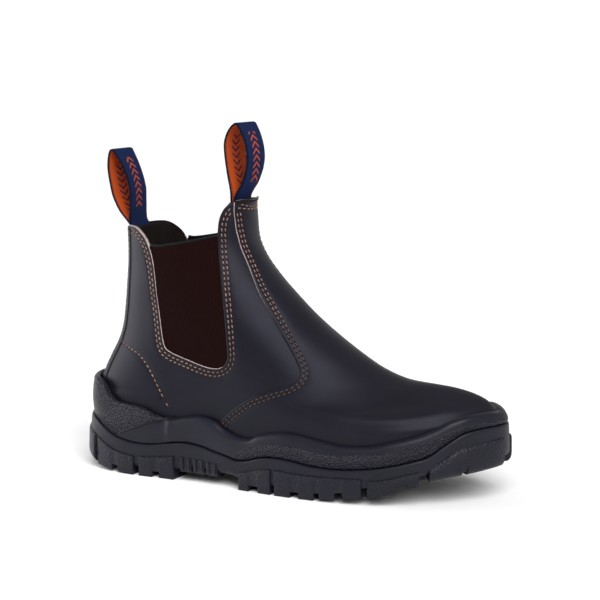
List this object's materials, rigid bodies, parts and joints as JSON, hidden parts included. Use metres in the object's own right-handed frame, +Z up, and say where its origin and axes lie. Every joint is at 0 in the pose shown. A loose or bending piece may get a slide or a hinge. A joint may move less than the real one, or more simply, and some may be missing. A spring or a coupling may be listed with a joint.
{
  "type": "work boot",
  "caption": "Right ankle work boot: hollow leather upper with an elastic panel in each side, webbing pull loops and a lugged two-layer rubber sole.",
  "frame": {"origin": "on the floor under the centre of the whole boot's bounding box", "axes": "+X to the toe, +Y to the inner (medial) side, +Z up"},
  "size_m": [0.3098, 0.1122, 0.2446],
  "materials": {
    "outsole_rubber": "satin",
    "midsole_rubber": "fine grain",
    "insole_lining": "matte",
    "leather": "oiled, soft sheen",
    "elastic": "ribbed, matte",
    "webbing": "woven, matte"
  },
  "bodies": {
    "root": {"outsole": "outsole_rubber", "midsole": "midsole_rubber", "insole": "insole_lining", "upper": "leather", "gore_lateral": "elastic", "gore_medial": "elastic", "backstay": "leather", "pull_loop_front": "webbing", "pull_loop_rear": "webbing"}
  },
  "joints": []
}
